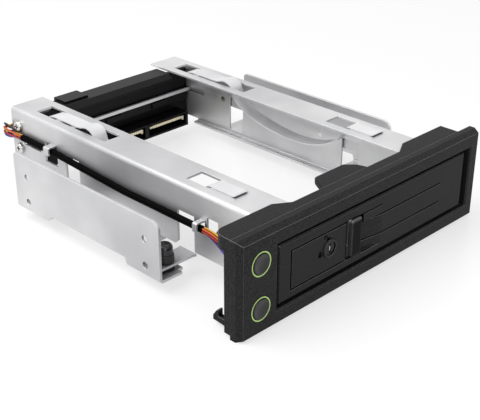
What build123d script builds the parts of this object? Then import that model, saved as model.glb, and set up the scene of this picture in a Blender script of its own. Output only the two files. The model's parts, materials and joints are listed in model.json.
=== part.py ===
from build123d import *
import os
from math import cos, pi, radians, sin, tan

os.makedirs("parts", exist_ok=True)

# Hot swap cage for one 3.5 inch drive in a 5.25 inch bay, in millimetres.
# X runs across the front, Y to the rear and Z up. The origin is under the middle of the whole cage.
# A depth is measured to the rear from the bezel's front face.

# Bezel
bezel_width = 149.5
bezel_height = 42.0
bezel_bevel = 1.25
bevel_depth = 3.0
flange_depth = 5.7
frame_depth = 9.5
front_wall = 2.2
moulded_wall = 1.8
frame_bottom = 1.2
frame_left = -74.0
frame_right = 66.5
hood_top = 41.6
hood_bottom = 36.0
hood_reach = 15.4
hood_middle_reach = 11.0
hood_corner = 5.0
hood_roof = 1.7
opening_left = -55.4
opening_right = 68.6
opening_bottom = 6.7
opening_top = 35.1
boss_start = 58.0

# Door and its hinge
door_left = -54.3
door_bottom = 8.3
door_top = 33.5
door_front = 0.6
door_depth = 8.0
door_wall = 2.0
hinge_x = 63.2
hinge_pin_radius = 1.0
hinge_pin_grip = 2.5
running_gap = 0.05
cover_thickness = 1.0
cavity_right = 51.0
door_swing = 90.0

# Latch handle and bolt
latch_x = -12.2
latch_depth = 2.9
latch_pin_radius = 0.8
hub_radius = 2.3
handle_front = -0.6
handle_face_left = -12.9
handle_right = -5.0
handle_bottom = 12.0
handle_top = 29.2
handle_gap = 0.3
finger_reach = 3.5
finger_radius = 0.7
handle_swing = 36.0
bolt_bottom = 26.0
bolt_top = 29.9
bolt_front = 5.6
bolt_rear = 7.2
bolt_right = -9.8
nose_left = -56.9
nose_width = 2.6
slide_gap = 0.3
scoop_right = 7.2
scoop_depth = 1.8
scoop_bottom = 11.2
scoop_top = 25.2
groove_width = 0.7
groove_depth = 0.6
groove_heights = (16.0, 24.8)
groove_end = 47.8
panel_left = -47.8
panel_bottom = 12.0
panel_top = 29.0
edge_bevel = 0.5

# Key lock
lock_x = -25.2
lock_z = 21.3
barrel_radius = 4.0
plug_radius = 2.9
barrel_proud = 0.5
plug_proud = 0.1
collar_radius = 5.2
nut_across_flats = 11.0
nut_thickness = 1.6
cam_length = 16.3
cam_width = 5.0
cam_thickness = 1.2

# Push buttons and their board
button_x = -64.4
button_heights = {"upper": 30.5, "lower": 11.4}
button_radius = 4.2
button_proud = 0.6
button_flange_radius = 5.4
button_travel = 0.6
ring_outer = 5.1
ring_inner = 4.5
ring_rear = 3.0
ring_proud = 0.15
board_depth = 8.0
board_thickness = 1.2
board_screw_offset = 4.4
board_screw_z = 21.0

# Side rails
rail_outer = 52.3
sheet = 1.0
rail_front = 10.0
rail_rear = 174.3
rail_top = 39.5
flange_inner = 34.2
ledge_top = 8.3
ledge_inner = 48.2
ledge_front = 65.0
ledge_rear = 157.0
wall_bottom = 9.0
front_wall_bottom = 11.2
low_wall_front = 71.0
corner_cut = 1.6
web_gap = 1.8
web_relief = 0.4
front_web = (48.6, 58.6)
rear_web = (123.5, 133.3)
window_top = 27.4
ledge_slot_left = 49.0
ledge_slot_right = 49.9
ledge_slots = ((78.0, 98.0), (123.3, 130.8), (132.3, 155.6))
spring_window_left = 38.3
spring_window_right = 47.3
front_window = (44.7, 58.5)
middle_window = (110.65, 143.0)
rear_window = (146.0, 161.0)
hook_left = 44.5
hook_width = 4.0
hook_gap = 0.6
hook_window = (11.6, 14.2)

# Leaf springs
spring_left = 39.0
spring_right = 46.5
spring_sheet = 0.5

# Mounting brackets and their rubber grommets
bracket_outer = 73.0
bracket_sheet = 1.2
bracket_front = 46.5
bracket_rear = 143.2
bracket_top = 32.5
bracket_bottom = 5.6
bracket_rise = 3.9
foot_reach = 5.6
front_foot_rear = 66.6
front_foot_slope = 1.2
rear_foot_front = 122.2
rear_foot_slope = 5.4
mount_hole_radius = 1.6
first_hole_depth = 55.2
hole_spacing_along = 79.25
hole_spacing_up = 11.84
lower_hole_z = 10.8
grommet_radius = 4.0
grommet_neck = 3.0
grommet_top = 14.0
stud_radius = 1.5
stud_head_height = 4.0

# Backplane
housing_front = 166.0
housing_wall = 2.0
housing_bottom = 6.5
housing_gap = 0.3
ear_depth = 6.0
ear_width = 4.0
ear_bottom = 15.5
beam_front = 157.0
beam_top = 38.0
beam_bottom = 34.9
beam_gap = 0.3
pcb_thickness = 1.6
pcb_gap = 0.3
rear_screw_depth = 168.6
rear_screw_heights = (20.3, 31.3)
rear_screw_radius = 1.25
rear_screw_head = 2.5
receptacle_left = 2.5
receptacle_right = 45.2
receptacle_bottom = 6.8
receptacle_top = 14.3
receptacle_front = 158.5
host_reach = 8.6

# Ejector
crank_radius = 8.0
crank_angle = 135.0
crank_pin_radius = 1.0
slider_sheet = 1.0
slider_bottom = 22.0
slider_top = 28.0
slider_front = 20.0
slider_tail = 1.9
fork_bottom = 24.5
fork_sheet = 1.0
fork_right = 58.4
fork_slot_half = 1.6
fork_wall = 1.6
rivet_depths = (72.0, 138.0)
rivet_radius = 1.5
crossbar_gap = 2.0
crossbar_sheet = 1.2
crossbar_bottom = 23.2
crossbar_top = 24.8
bumper_bottom = 19.0
bumper_gap = 1.8

# Lead of six wires in a sleeve
sleeve_radius = 1.5
sleeve_gap = 0.3
wire_radius = 0.45
wire_circle = 1.0
wire_names = ("black", "yellow", "orange", "red", "purple", "blue")
sleeve_front = 41.0
sleeve_rear = 164.0
sleeve_front_z = 24.9
sleeve_rear_z = 27.2

# Worked out from the sizes above
door_rear = door_front + door_depth
hinge_round = door_depth / 2
hinge_depth = door_front + hinge_round
cover_front = door_rear - cover_thickness
cavity_bottom = door_bottom + door_wall
cavity_top = door_top - door_wall
latch_travel = finger_reach * sin(radians(handle_swing))
rail_inner = rail_outer - sheet
bracket_room = bracket_outer - bracket_sheet - rail_outer
grommet_x = rail_outer + bracket_room * 8 / 13
foot_inner = grommet_x - foot_reach
web_reach = rail_outer + bracket_room - web_gap
housing_half = rail_inner - housing_gap
ear_inner = housing_half - ear_width
beam_half = flange_inner - beam_gap
pcb_half = ear_inner - pcb_gap
slider_left = rail_outer + slide_gap
bumper_half = rail_inner - bumper_gap
housing_rear = housing_front + housing_wall
crossbar_depth = housing_front - crossbar_gap
slider_rear = crossbar_depth + slider_tail
pcb_rear = housing_rear + pcb_thickness
rear_reach = pcb_rear + host_reach
crank_pin_x = hinge_x + crank_radius * cos(radians(crank_angle))
crank_pin_depth = hinge_depth + crank_radius * sin(radians(crank_angle))
eject_travel = 2 * crank_radius * sin(radians(door_swing / 2))
grommet_depths = (sum(front_web) / 2, sum(rear_web) / 2)
web_bottom = wall_bottom
web_top = web_bottom + sheet
foot_top = bracket_bottom + bracket_sheet
sleeve_x = -(rail_outer + sleeve_gap + sleeve_radius)
front_y = (button_proud - rear_reach) / 2


def level(height):
    return Plane((0, front_y, height))


def upright(depth):
    return Plane((0, front_y + depth, 0), x_dir=(1, 0, 0), z_dir=(0, -1, 0))


def sideways(x):
    return Plane((x, front_y, 0), x_dir=(0, 1, 0), z_dir=(1, 0, 0))


def block(x_span, depth_span, z_span, mode=Mode.ADD):
    spans = (x_span, depth_span, z_span)
    size = [abs(span[1] - span[0]) for span in spans]
    middle = [(span[0] + span[1]) / 2 for span in spans]
    with Locations((middle[0], front_y + middle[1], middle[2])):
        Box(*size, mode=mode)


def rod(plane, x, y, radius, length, mode=Mode.ADD):
    with Locations(plane.location * Location((x, y, length / 2))):
        Cylinder(radius, abs(length), mode=mode)


def bend_radii(points, largest=60.0):
    radii = []
    for before, corner, after in zip(points, points[1:], points[2:]):
        arriving = Vector(*corner) - Vector(*before)
        leaving = Vector(*after) - Vector(*corner)
        half_turn = radians(arriving.get_angle(leaving)) / 2
        shorter = min(arriving.length, leaving.length)
        radii.append(min(largest, 0.45 * shorter / tan(half_turn)))
    return radii


# Side rails: one folded sheet each, a wall with a flange on top and a drive ledge below


def plain_rail(side):
    middle = rail_outer - sheet / 2
    section = [
        (side * ledge_inner, ledge_top - sheet / 2),
        (side * middle, ledge_top - sheet / 2),
        (side * middle, rail_top - sheet / 2),
        (side * flange_inner, rail_top - sheet / 2),
    ]
    with BuildPart() as rail:
        with BuildSketch(upright(rail_front)):
            with BuildLine():
                FilletPolyline(*section, radius=1.5)
            trace(line_width=sheet)
        extrude(amount=rail_front - rail_rear)
        # The ledge is cut away at both ends
        block((side * 30, side * 60), (0, ledge_front), (0, wall_bottom), Mode.SUBTRACT)
        block((side * 30, side * (rail_inner - 0.01)), (0, ledge_front), (0, 12), Mode.SUBTRACT)
        block((side * 30, side * 60), (ledge_rear, 180), (0, wall_bottom), Mode.SUBTRACT)
        block((side * 30, side * (rail_inner - 0.01)), (ledge_rear, 180), (0, 12), Mode.SUBTRACT)
        # Drainage slots in the ledge
        for slot in ledge_slots:
            block((side * ledge_slot_left, side * ledge_slot_right), slot, (0, ledge_top + 1), Mode.SUBTRACT)
        # Webs folded outward to the grommets, with the windows that they leave
        for web in (front_web, rear_web):
            block((side * (rail_inner - 1), side * (rail_outer + 1)), web, (web_top, window_top),
                  Mode.SUBTRACT)
            block((side * (rail_outer - sheet / 2), side * web_reach),
                  (web[0] + web_relief, web[1] - web_relief),
                  (web_bottom, web_top))
            rod(level(0), side * grommet_x, sum(web) / 2, grommet_neck + running_gap, 20, Mode.SUBTRACT)
        # Windows in the flange for the leaf spring
        for window in (front_window, middle_window, rear_window):
            block((side * spring_window_left, side * spring_window_right), window,
                  (rail_top - 1.5, rail_top + 1.5), Mode.SUBTRACT)
        # Window for the bezel's snap hook
        block((side * (hook_left - hook_gap), side * (hook_left + hook_width + hook_gap)), hook_window,
              (rail_top - 1.5, rail_top + 1.5), Mode.SUBTRACT)
        # Slot for the ejector's crossbar and holes for the rear screws
        slot_front = crossbar_depth - eject_travel - slide_gap
        slot_rear = crossbar_depth + crossbar_sheet + slide_gap
        block((side * (rail_inner - 1), side * (rail_outer + 1)), (slot_front, slot_rear),
              (crossbar_bottom - slide_gap, crossbar_top + slide_gap), Mode.SUBTRACT)
        for height in rear_screw_heights:
            rod(sideways(side * (rail_inner - 1)), rear_screw_depth, height, rear_screw_radius + running_gap,
                side * (sheet + 2), Mode.SUBTRACT)
    return rail.part


clip_pockets = (((42.4, 46.8), (21.8, 27.0)), ((139.6, 149.0), (19.4, 28.9)))
clip_spans = ((42.4, 45.6), (140.0, 144.6))
clip_arms = (27.4, 29.3)
clip_ends = (23.9, 25.9)
clip_bulge = sleeve_gap + 2 * sleeve_radius + 0.2
clip_sheet = 0.8

with BuildPart() as left_side_rail:
    add(plain_rail(-1))
    # The wall is higher from the ground in front and behind the front web
    block((-60, -40), (5, front_web[0]), (0, front_wall_bottom), Mode.SUBTRACT)
    with BuildSketch(sideways(-60)):
        with BuildLine():
            Polyline((front_web[1], 0), (front_web[1], front_wall_bottom + corner_cut),
                     (front_web[1] + corner_cut, front_wall_bottom), (low_wall_front, front_wall_bottom),
                     (low_wall_front, 0), close=True)
        make_face()
    extrude(amount=20, mode=Mode.SUBTRACT)
    # Trapezoid window beside the front clip
    with BuildSketch(sideways(-60)):
        with BuildLine():
            Polyline((34.8, 29.7), (41.2, 29.7), (41.2, 21.8), (37.0, 23.2), (34.8, 26.8), close=True)
        make_face()
    extrude(amount=12, mode=Mode.SUBTRACT)
    # Clips: hooks bent out of the wall over the sleeve
    for pocket, span, arm, end in zip(clip_pockets, clip_spans, clip_arms, clip_ends):
        block((-60, -50), *pocket, Mode.SUBTRACT)
        wall_line = -(rail_outer - clip_sheet / 2)
        bulge_line = -(rail_outer + clip_bulge + clip_sheet / 2)
        with BuildSketch(upright(span[0] + 0.4)):
            with BuildLine():
                FilletPolyline((wall_line, arm + 1.4), (wall_line, arm), (bulge_line, arm), (bulge_line, end),
                               radius=0.6)
            trace(line_width=clip_sheet)
        extrude(amount=span[0] - span[1] + 0.8)
left_side_rail.part.label = "left_side_rail"
export_step(left_side_rail.part, "parts/left_side_rail.step")

with BuildPart() as right_side_rail:
    add(plain_rail(1))
    # Curved cut-out that shows the ejector's link
    with BuildSketch(sideways(50)):
        with BuildLine():
            Polyline((5, 5), (44.5, 5), (44.5, wall_bottom))
            ThreePointArc((44.5, wall_bottom), (36, 21.5), (16, 26.5))
            Polyline((16, 26.5), (5, 26.5), (5, 5))
        make_face()
    extrude(amount=8, mode=Mode.SUBTRACT)
    for depth in rivet_depths:
        rod(sideways(50), depth, 25, rivet_radius + running_gap, 5, Mode.SUBTRACT)
right_side_rail.part.label = "right_side_rail"
export_step(right_side_rail.part, "parts/right_side_rail.step")

# Leaf springs: a bowed strip that presses on the drive from above


def leaf_spring(side):
    on_top = rail_top + spring_sheet / 2
    outline = [
        (31.5, on_top + 0.7),
        (33.0, on_top),
        (47.7, on_top),
        (49.8, 34.2),
        (56.0, 28.8),
        (67.0, 24.6),
        (81.0, 23.4),
        (95.0, 24.8),
        (108.5, 27.9),
        (117.6, 32.4),
        (120.8, 40.4),
        (125.0, 41.5),
        (130.5, on_top),
        (148.0, on_top),
        (152.0, rail_top - 0.6),
    ]
    with BuildPart() as spring:
        with BuildSketch(sideways(side * spring_left)):
            with BuildLine():
                FilletPolyline(*outline, radius=bend_radii(outline))
            trace(line_width=spring_sheet)
        extrude(amount=side * (spring_right - spring_left))
    return spring.part


for side, side_name in ((-1, "left"), (1, "right")):
    spring = leaf_spring(side)
    spring.label = f"{side_name}_leaf_spring"
    export_step(spring, f"parts/{side_name}_leaf_spring.step")

# Mounting brackets: a plate with four screw holes and two feet folded inward


def mounting_bracket(side):
    middle = bracket_outer - bracket_sheet / 2
    foot_line = bracket_bottom + bracket_sheet / 2
    with BuildPart() as bracket:
        with BuildSketch(upright(bracket_front)):
            with BuildLine():
                FilletPolyline(
                    (side * foot_inner, foot_line),
                    (side * middle, foot_line),
                    (side * middle, bracket_top),
                    radius=1.2,
                )
            trace(line_width=bracket_sheet)
        extrude(amount=bracket_front - bracket_rear)
        # Outline of the folded blank seen from the side
        with BuildSketch(sideways(0)):
            with BuildLine():
                outline = Polyline(
                    (bracket_front, bracket_bottom),
                    (front_foot_rear, bracket_bottom),
                    (front_foot_rear + front_foot_slope, bracket_bottom + bracket_rise),
                    (rear_foot_front - rear_foot_slope, bracket_bottom + bracket_rise),
                    (rear_foot_front, bracket_bottom),
                    (bracket_rear, bracket_bottom),
                    (bracket_rear, bracket_top),
                    (bracket_front, bracket_top),
                    close=True,
                )
            make_face()
            fillet(vertices().group_by(Axis.X)[0].sort_by(Axis.Y)[-1], radius=4.0)
            fillet(vertices().group_by(Axis.X)[-1].sort_by(Axis.Y)[-1], radius=1.8)
        extrude(amount=side * (bracket_outer + 7), mode=Mode.INTERSECT)
        for depth in (first_hole_depth, first_hole_depth + hole_spacing_along):
            for height in (lower_hole_z, lower_hole_z + hole_spacing_up):
                rod(sideways(side * (bracket_outer - 3)), depth, height, mount_hole_radius, side * 5,
                    Mode.SUBTRACT)
        for depth in grommet_depths:
            rod(level(0), side * grommet_x, depth, stud_radius + running_gap, 10, Mode.SUBTRACT)
        # Relief notch beside the front foot
        block((side * (foot_inner - 1), side * (foot_inner + 2.5)), (bracket_front - 1, bracket_front + 2.5),
              (0, foot_top + 1), Mode.SUBTRACT)
    return bracket.part


for side, side_name in ((-1, "left"), (1, "right")):
    bracket = mounting_bracket(side)
    bracket.label = f"{side_name}_mounting_bracket"
    export_step(bracket, f"parts/{side_name}_mounting_bracket.step")

# Rubber grommets that carry the rails on the brackets' feet, and their studs
grommet_places = [(side * grommet_x, depth) for side in (-1, 1) for depth in grommet_depths]

with BuildPart() as rubber_grommets:
    for x, depth in grommet_places:
        rod(level(foot_top), x, depth, grommet_radius, web_bottom - foot_top)
        rod(level(web_bottom), x, depth, grommet_neck, sheet)
        rod(level(web_top), x, depth, grommet_radius, grommet_top - web_top)
        rod(level(0), x, depth, stud_radius + running_gap, 30, Mode.SUBTRACT)
    fillet(edges().filter_by(GeomType.CIRCLE).group_by(Axis.Z)[-1].sort_by(SortBy.RADIUS)[-4:], radius=0.8)
rubber_grommets.part.label = "rubber_grommets"
export_step(rubber_grommets.part, "parts/rubber_grommets.step")

with BuildPart() as grommet_studs:
    for x, depth in grommet_places:
        rod(level(bracket_bottom), x, depth, stud_radius, grommet_top - bracket_bottom)
        rod(level(grommet_top), x, depth, grommet_radius - 0.4, stud_head_height)
    heads = edges().filter_by(GeomType.CIRCLE).group_by(Axis.Z)[-1]
    fillet(heads, radius=1.8)
grommet_studs.part.label = "grommet_studs"
export_step(grommet_studs.part, "parts/grommet_studs.step")

# Bezel: a moulded frame with a hood over the rails' front ends
board_screw_places = [button_x - board_screw_offset, button_x + board_screw_offset]

with BuildPart() as bezel:
    with BuildSketch(upright(0)):
        with Locations((0, bezel_height / 2)):
            Rectangle(bezel_width - 2 * bezel_bevel, bezel_height - 2 * bezel_bevel)
    with BuildSketch(upright(bevel_depth)):
        with Locations((0, bezel_height / 2)):
            Rectangle(bezel_width, bezel_height)
    loft()
    block((-bezel_width / 2, bezel_width / 2), (bevel_depth, flange_depth), (0, bezel_height))
    block((frame_left, frame_right), (flange_depth, frame_depth), (frame_bottom, hood_top))
    block((frame_right - moulded_wall, frame_right), (flange_depth, hood_reach), (frame_bottom, hood_top))
    # Hood
    with BuildSketch(level(hood_bottom)) as hood_outline:
        with BuildLine():
            Polyline(
                (frame_left, flange_depth),
                (frame_left, hood_reach),
                (-43, hood_reach),
                (-36, hood_middle_reach),
                (30.7, hood_middle_reach),
                (38.6, hood_reach),
                (frame_right, hood_reach),
                (frame_right, flange_depth),
                close=True,
            )
        make_face()
        fillet(vertices().group_by(Axis.X)[0].sort_by(Axis.Y)[-1], radius=hood_corner)
    extrude(amount=hood_top - hood_bottom)
    # Inside of the hood and of the bars
    roof = hood_top - hood_roof
    with BuildSketch(level(opening_top + moulded_wall)):
        offset(hood_outline.sketch, amount=-moulded_wall, kind=Kind.INTERSECTION)
    extrude(amount=roof - opening_top - moulded_wall, mode=Mode.SUBTRACT)
    block((opening_left, boss_start), (front_wall, frame_depth), (opening_top + moulded_wall, roof),
          Mode.SUBTRACT)
    block((-72.2, -43), (frame_depth, hood_reach - moulded_wall), (hood_bottom - 1, roof), Mode.SUBTRACT)
    block((38.6, frame_right - moulded_wall), (frame_depth, hood_reach - moulded_wall),
          (hood_bottom - 1, roof), Mode.SUBTRACT)
    block((opening_left, boss_start), (front_wall, frame_depth + 1), (2.0, opening_bottom - moulded_wall),
          Mode.SUBTRACT)
    block((opening_right + moulded_wall, bezel_width / 2 - moulded_wall), (front_wall, frame_depth),
          (2.0, roof), Mode.SUBTRACT)
    block((-72.2, opening_left - moulded_wall), (front_wall, frame_depth + 1), (2.0, roof), Mode.SUBTRACT)
    # Door opening, with a softened front edge
    block((opening_left, opening_right), (-1, frame_depth), (opening_bottom, opening_top), Mode.SUBTRACT)
    with BuildSketch(upright(0)):
        with Locations(((opening_left + opening_right) / 2, (opening_bottom + opening_top) / 2)):
            Rectangle(opening_right - opening_left + 2 * edge_bevel,
                      opening_top - opening_bottom + 2 * edge_bevel)
    extrude(amount=-edge_bevel, taper=45, mode=Mode.SUBTRACT)
    # Slots for the rails and snap hooks that hold them
    for side in (-1, 1):
        block((side * (flange_inner - 0.3), side * (rail_outer + 0.3)), (frame_depth, 17),
              (rail_top - sheet - 0.2, rail_top + 0.3), Mode.SUBTRACT)
        block((side * (rail_inner - 0.3), side * (rail_outer + 0.3)), (frame_depth, 17),
              (hood_bottom - 1, rail_top + 0.3), Mode.SUBTRACT)
        with BuildSketch(sideways(side * hook_left)):
            with BuildLine():
                Polyline((12.0, roof), (12.0, 36.8), (14.0, 37.9), (13.2, 38.2), (13.2, roof), close=True)
            make_face()
        extrude(amount=side * hook_width)
    # Hook arms low on both sides
    for arm_left in (-71.5, 61.8):
        with BuildSketch(sideways(arm_left)):
            with BuildLine():
                Polyline((6, frame_bottom), (18, 2.2), (18, 4.2), (16, 7), (15.3, 7), (15.3, 4.4), (6, 4.4),
                         close=True)
            make_face()
        extrude(amount=2.5)
    # Button holes and bosses for the button board
    for height in button_heights.values():
        rod(upright(-1), button_x, height, ring_outer, -5, Mode.SUBTRACT)
    for x in board_screw_places:
        rod(upright(front_wall - 0.2), x, board_screw_z, 2.3, front_wall - 0.2 - board_depth)
        rod(upright(front_wall + 1), x, board_screw_z, 1.0, -10, Mode.SUBTRACT)
    # Strike pocket for the latch bolt and sockets for the hinge pin
    block((opening_left - moulded_wall - 0.1, opening_left + 0.1), (4.3, 8.3),
          (bolt_bottom - 0.4, bolt_top + 0.4), Mode.SUBTRACT)
    rod(level(opening_bottom - hinge_pin_grip), hinge_x, hinge_depth, hinge_pin_radius + 0.02,
        opening_top - opening_bottom + 2 * hinge_pin_grip, Mode.SUBTRACT)
bezel.part.label = "bezel"
export_step(bezel.part, "parts/bezel.step")

with BuildPart() as hinge_pin:
    rod(level(opening_bottom - hinge_pin_grip), hinge_x, hinge_depth, hinge_pin_radius,
        opening_top - opening_bottom + 2 * hinge_pin_grip)
hinge_pin.part.label = "hinge_pin"
export_step(hinge_pin.part, "parts/hinge_pin.step")

# Guide tongue behind the hood that keeps the drive down
tongue_bottom = 35.1
tongue_top = 37.4
tongue_reach = 25.6

with BuildPart() as guide_tongue:
    with BuildSketch(level(tongue_bottom)):
        with BuildLine():
            Polyline((-13.0, hood_middle_reach), (-12.0, 16.9), (-7.9, 24.0), (-6.6, 25.3),
                     (-5.2, tongue_reach),
                     (11.4, tongue_reach), (15.6, 21.4), (17.0, 16.9), (17.4, hood_middle_reach),
                     (-13.0, hood_middle_reach))
        make_face()
    extrude(amount=tongue_top - tongue_bottom)
    fillet(faces().sort_by(Axis.Z)[-1].edges().sort_by(Axis.Y)[1:], radius=0.6)
    # Root that closes the hood from behind
    block((-13.0, 17.4), (frame_depth + 0.1, hood_middle_reach), (tongue_bottom, hood_bottom))
guide_tongue.part.label = "guide_tongue"
export_step(guide_tongue.part, "parts/guide_tongue.step")

# Push buttons, light rings and switches
ring_profile_gap = 0.05

for name, height in button_heights.items():
    with BuildPart() as button:
        rod(upright(-button_proud), button_x, height, button_radius, -button_proud - ring_rear - slide_gap)
        fillet(edges().group_by(Axis.Y)[0], radius=0.55)
        rod(upright(ring_rear + slide_gap), button_x, height, button_flange_radius, -0.8)
        rod(upright(ring_rear + slide_gap + 0.8), button_x, height, 1.2, -0.5)
    button.part.label = f"{name}_button"
    export_step(button.part, f"parts/{name}_button.step")

    with BuildPart() as plunger:
        plunger_front = ring_rear + slide_gap + 1.3
        rod(upright(plunger_front), button_x, height, 1.5, -1.3)
    plunger.part.label = f"{name}_switch_plunger"
    export_step(plunger.part, f"parts/{name}_switch_plunger.step")

    with BuildPart() as light_ring:
        rod(upright(-ring_proud), button_x, height, ring_outer - ring_profile_gap, -ring_proud - ring_rear)
        rod(upright(front_wall), button_x, height, ring_outer + 0.9, front_wall - ring_rear)
        rod(upright(-1), button_x, height, ring_inner, -10, Mode.SUBTRACT)
    light_ring.part.label = f"{name}_light_ring"
    export_step(light_ring.part, f"parts/{name}_light_ring.step")

switch_front = 5.6
switch_half = 3.0

with BuildPart() as tact_switches:
    for height in button_heights.values():
        block((button_x - switch_half, button_x + switch_half), (switch_front, board_depth),
              (height - switch_half, height + switch_half))
        rod(upright(switch_front - 1), button_x, height, 1.8, -2.6, Mode.SUBTRACT)
tact_switches.part.label = "tact_switches"
export_step(tact_switches.part, "parts/tact_switches.step")

with BuildPart() as button_board:
    block((button_x - 7, button_x + 6.6), (board_depth, board_depth + board_thickness), (5, 38.5))
    for x in board_screw_places:
        rod(upright(board_depth - 1), x, board_screw_z, 1.0, -4, Mode.SUBTRACT)
button_board.part.label = "button_board"
export_step(button_board.part, "parts/button_board.step")

with BuildPart() as status_lamps:
    for height in button_heights.values():
        for shift in (-5.0, 5.0):
            block((button_x + shift - 0.8, button_x + shift + 0.8), (board_depth - 1.2, board_depth),
                  (height - 0.8, height + 0.8))
status_lamps.part.label = "status_lamps"
export_step(status_lamps.part, "parts/status_lamps.step")

board_rear = board_depth + board_thickness

with BuildPart() as board_screws:
    for x in board_screw_places:
        rod(upright(board_rear), x, board_screw_z, 0.95, board_rear - front_wall - 1.2)
        rod(upright(board_rear), x, board_screw_z, 1.9, -1.2)
    fillet(edges().filter_by(GeomType.CIRCLE).group_by(Axis.Y)[-1], radius=0.5)
board_screws.part.label = "board_screws"
export_step(board_screws.part, "parts/board_screws.step")

header_z = 26.5
header_pitch = 2.0
header_depth = 13.0
header_half = 6.4

with BuildPart() as lead_header:
    block((button_x - header_half, button_x + header_half), (board_rear, header_depth),
          (header_z - 2.2, header_z + 2.2))
    block((button_x - header_half + 1, button_x + header_half - 1), (header_depth - 2.5, header_depth + 1),
          (header_z + 1.5, header_z + 3), Mode.SUBTRACT)
lead_header.part.label = "lead_header"
export_step(lead_header.part, "parts/lead_header.step")

# Door: a moulded shell that carries the latch and the lock
with BuildPart() as door_panel:
    with BuildSketch(level(door_bottom)):
        with Locations(((door_left + hinge_x) / 2, hinge_depth)):
            Rectangle(hinge_x - door_left, door_depth)
        with Locations((hinge_x, hinge_depth)):
            Circle(hinge_round)
    extrude(amount=door_top - door_bottom)
    chamfer(edges().group_by(Axis.Y)[0].sort_by(Axis.X)[:-1], length=edge_bevel)
    block((door_left + door_wall, cavity_right), (door_front + door_wall, door_rear + 1),
          (cavity_bottom, cavity_top), Mode.SUBTRACT)
    # Thicker wall behind the finger scoop, then the scoop itself
    block((handle_right + handle_gap, scoop_right + 2), (door_front + door_wall - 0.1, door_front + 3.8),
          (cavity_bottom - 0.1, cavity_top + 0.1))
    with BuildSketch(level(scoop_bottom)):
        with BuildLine():
            Polyline((scoop_right, door_front), (handle_right, door_front + scoop_depth),
                     (handle_right, door_front - 1), (scoop_right, door_front - 1), close=True)
        make_face()
    extrude(amount=scoop_top - scoop_bottom, mode=Mode.SUBTRACT)
    # Two long grooves that start in the scoop, and the lines that frame the lock and the handle
    for height in groove_heights:
        with BuildSketch(level(height - groove_width / 2)):
            with BuildLine():
                Polyline((handle_right, door_front + scoop_depth + groove_depth),
                         (scoop_right, door_front + groove_depth), (groove_end, door_front + groove_depth),
                         (groove_end, door_front - 1), (handle_right, door_front - 1), close=True)
            make_face()
        extrude(amount=groove_width, mode=Mode.SUBTRACT)
    for x_span, height in (((panel_left, scoop_right), panel_top), ((panel_left, latch_x), panel_bottom)):
        block(x_span, (door_front - 1, door_front + groove_depth),
              (height - groove_width / 2, height + groove_width / 2), Mode.SUBTRACT)
    block((panel_left, panel_left + groove_width), (door_front - 1, door_front + groove_depth),
          (panel_bottom, panel_top), Mode.SUBTRACT)
    # Lugs for the latch pin above and below the handle
    for lug in ((cavity_bottom - 0.1, handle_bottom - 0.2), (handle_top + 0.2, cavity_top + 0.1)):
        block((latch_x - 2.7, latch_x + 2.7), (door_front + door_wall - 0.1, bolt_front - slide_gap), lug)
    block((latch_x - hub_radius - 1.0, handle_right + handle_gap), (-1, door_rear),
          (handle_bottom - 0.2, handle_top + 0.2), Mode.SUBTRACT)
    # Guide ribs for the bolt
    for rib_left in (-46.0, -20.0):
        block((rib_left, rib_left + 1.2), (door_front + door_wall - 0.1, cover_front),
              (bolt_bottom - 3, cavity_top + 0.1))
    block((door_left - 1, bolt_right - 6), (bolt_front - slide_gap, bolt_rear + slide_gap),
          (bolt_bottom - slide_gap, bolt_top + slide_gap), Mode.SUBTRACT)
    # Bores for the lock, the latch pin and the hinge pin
    rod(upright(-1), lock_x, lock_z, barrel_radius + 0.05, -10, Mode.SUBTRACT)
    rod(level(cavity_bottom), latch_x, latch_depth, latch_pin_radius + 0.02, cavity_top - cavity_bottom,
        Mode.SUBTRACT)
    rod(level(0), hinge_x, hinge_depth, hinge_pin_radius + running_gap, 50, Mode.SUBTRACT)
    # Notch that lets the ejector's fork in beside the hinge
    block((cavity_right - 1, hinge_x - 2.0), (5.0, door_rear + 1),
          (fork_bottom - 0.5, fork_bottom + fork_sheet + 0.5),
          Mode.SUBTRACT)
    # Screw posts for the cover
    cover_posts = [(x, z) for x in (-48.5, 47.5) for z in (13.0, 23.0)]
    for x, z in cover_posts:
        rod(upright(door_front + door_wall - 0.1), x, z, 2.2, door_front + door_wall - 0.1 - cover_front)
        rod(upright(door_front + door_wall + 1), x, z, 0.8, -10, Mode.SUBTRACT)
door_panel.part.label = "door_panel"
export_step(door_panel.part, "parts/door_panel.step")

with BuildPart() as door_back_cover:
    block((door_left + door_wall + 0.2, cavity_right - 1.2), (cover_front, door_rear),
          (cavity_bottom + 0.2, cavity_top - 0.2))
    rod(upright(cover_front - 1), lock_x, lock_z, barrel_radius + 0.05, -5, Mode.SUBTRACT)
    for x, z in cover_posts:
        rod(upright(cover_front - 1), x, z, 0.8, -5, Mode.SUBTRACT)
door_back_cover.part.label = "door_back_cover"
export_step(door_back_cover.part, "parts/door_back_cover.step")

with BuildPart() as cover_screws:
    for x, z in cover_posts:
        rod(upright(door_rear), x, z, 0.75, door_rear - door_front - door_wall - 1.2)
        rod(upright(door_rear), x, z, 1.6, -0.8)
cover_screws.part.label = "cover_screws"
export_step(cover_screws.part, "parts/cover_screws.step")

# Crank on the door that drives the ejector
crank_bottom = fork_bottom + fork_sheet + 0.7
crank_sheet = 2.0
crank_post_low = fork_bottom - 0.9

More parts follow.
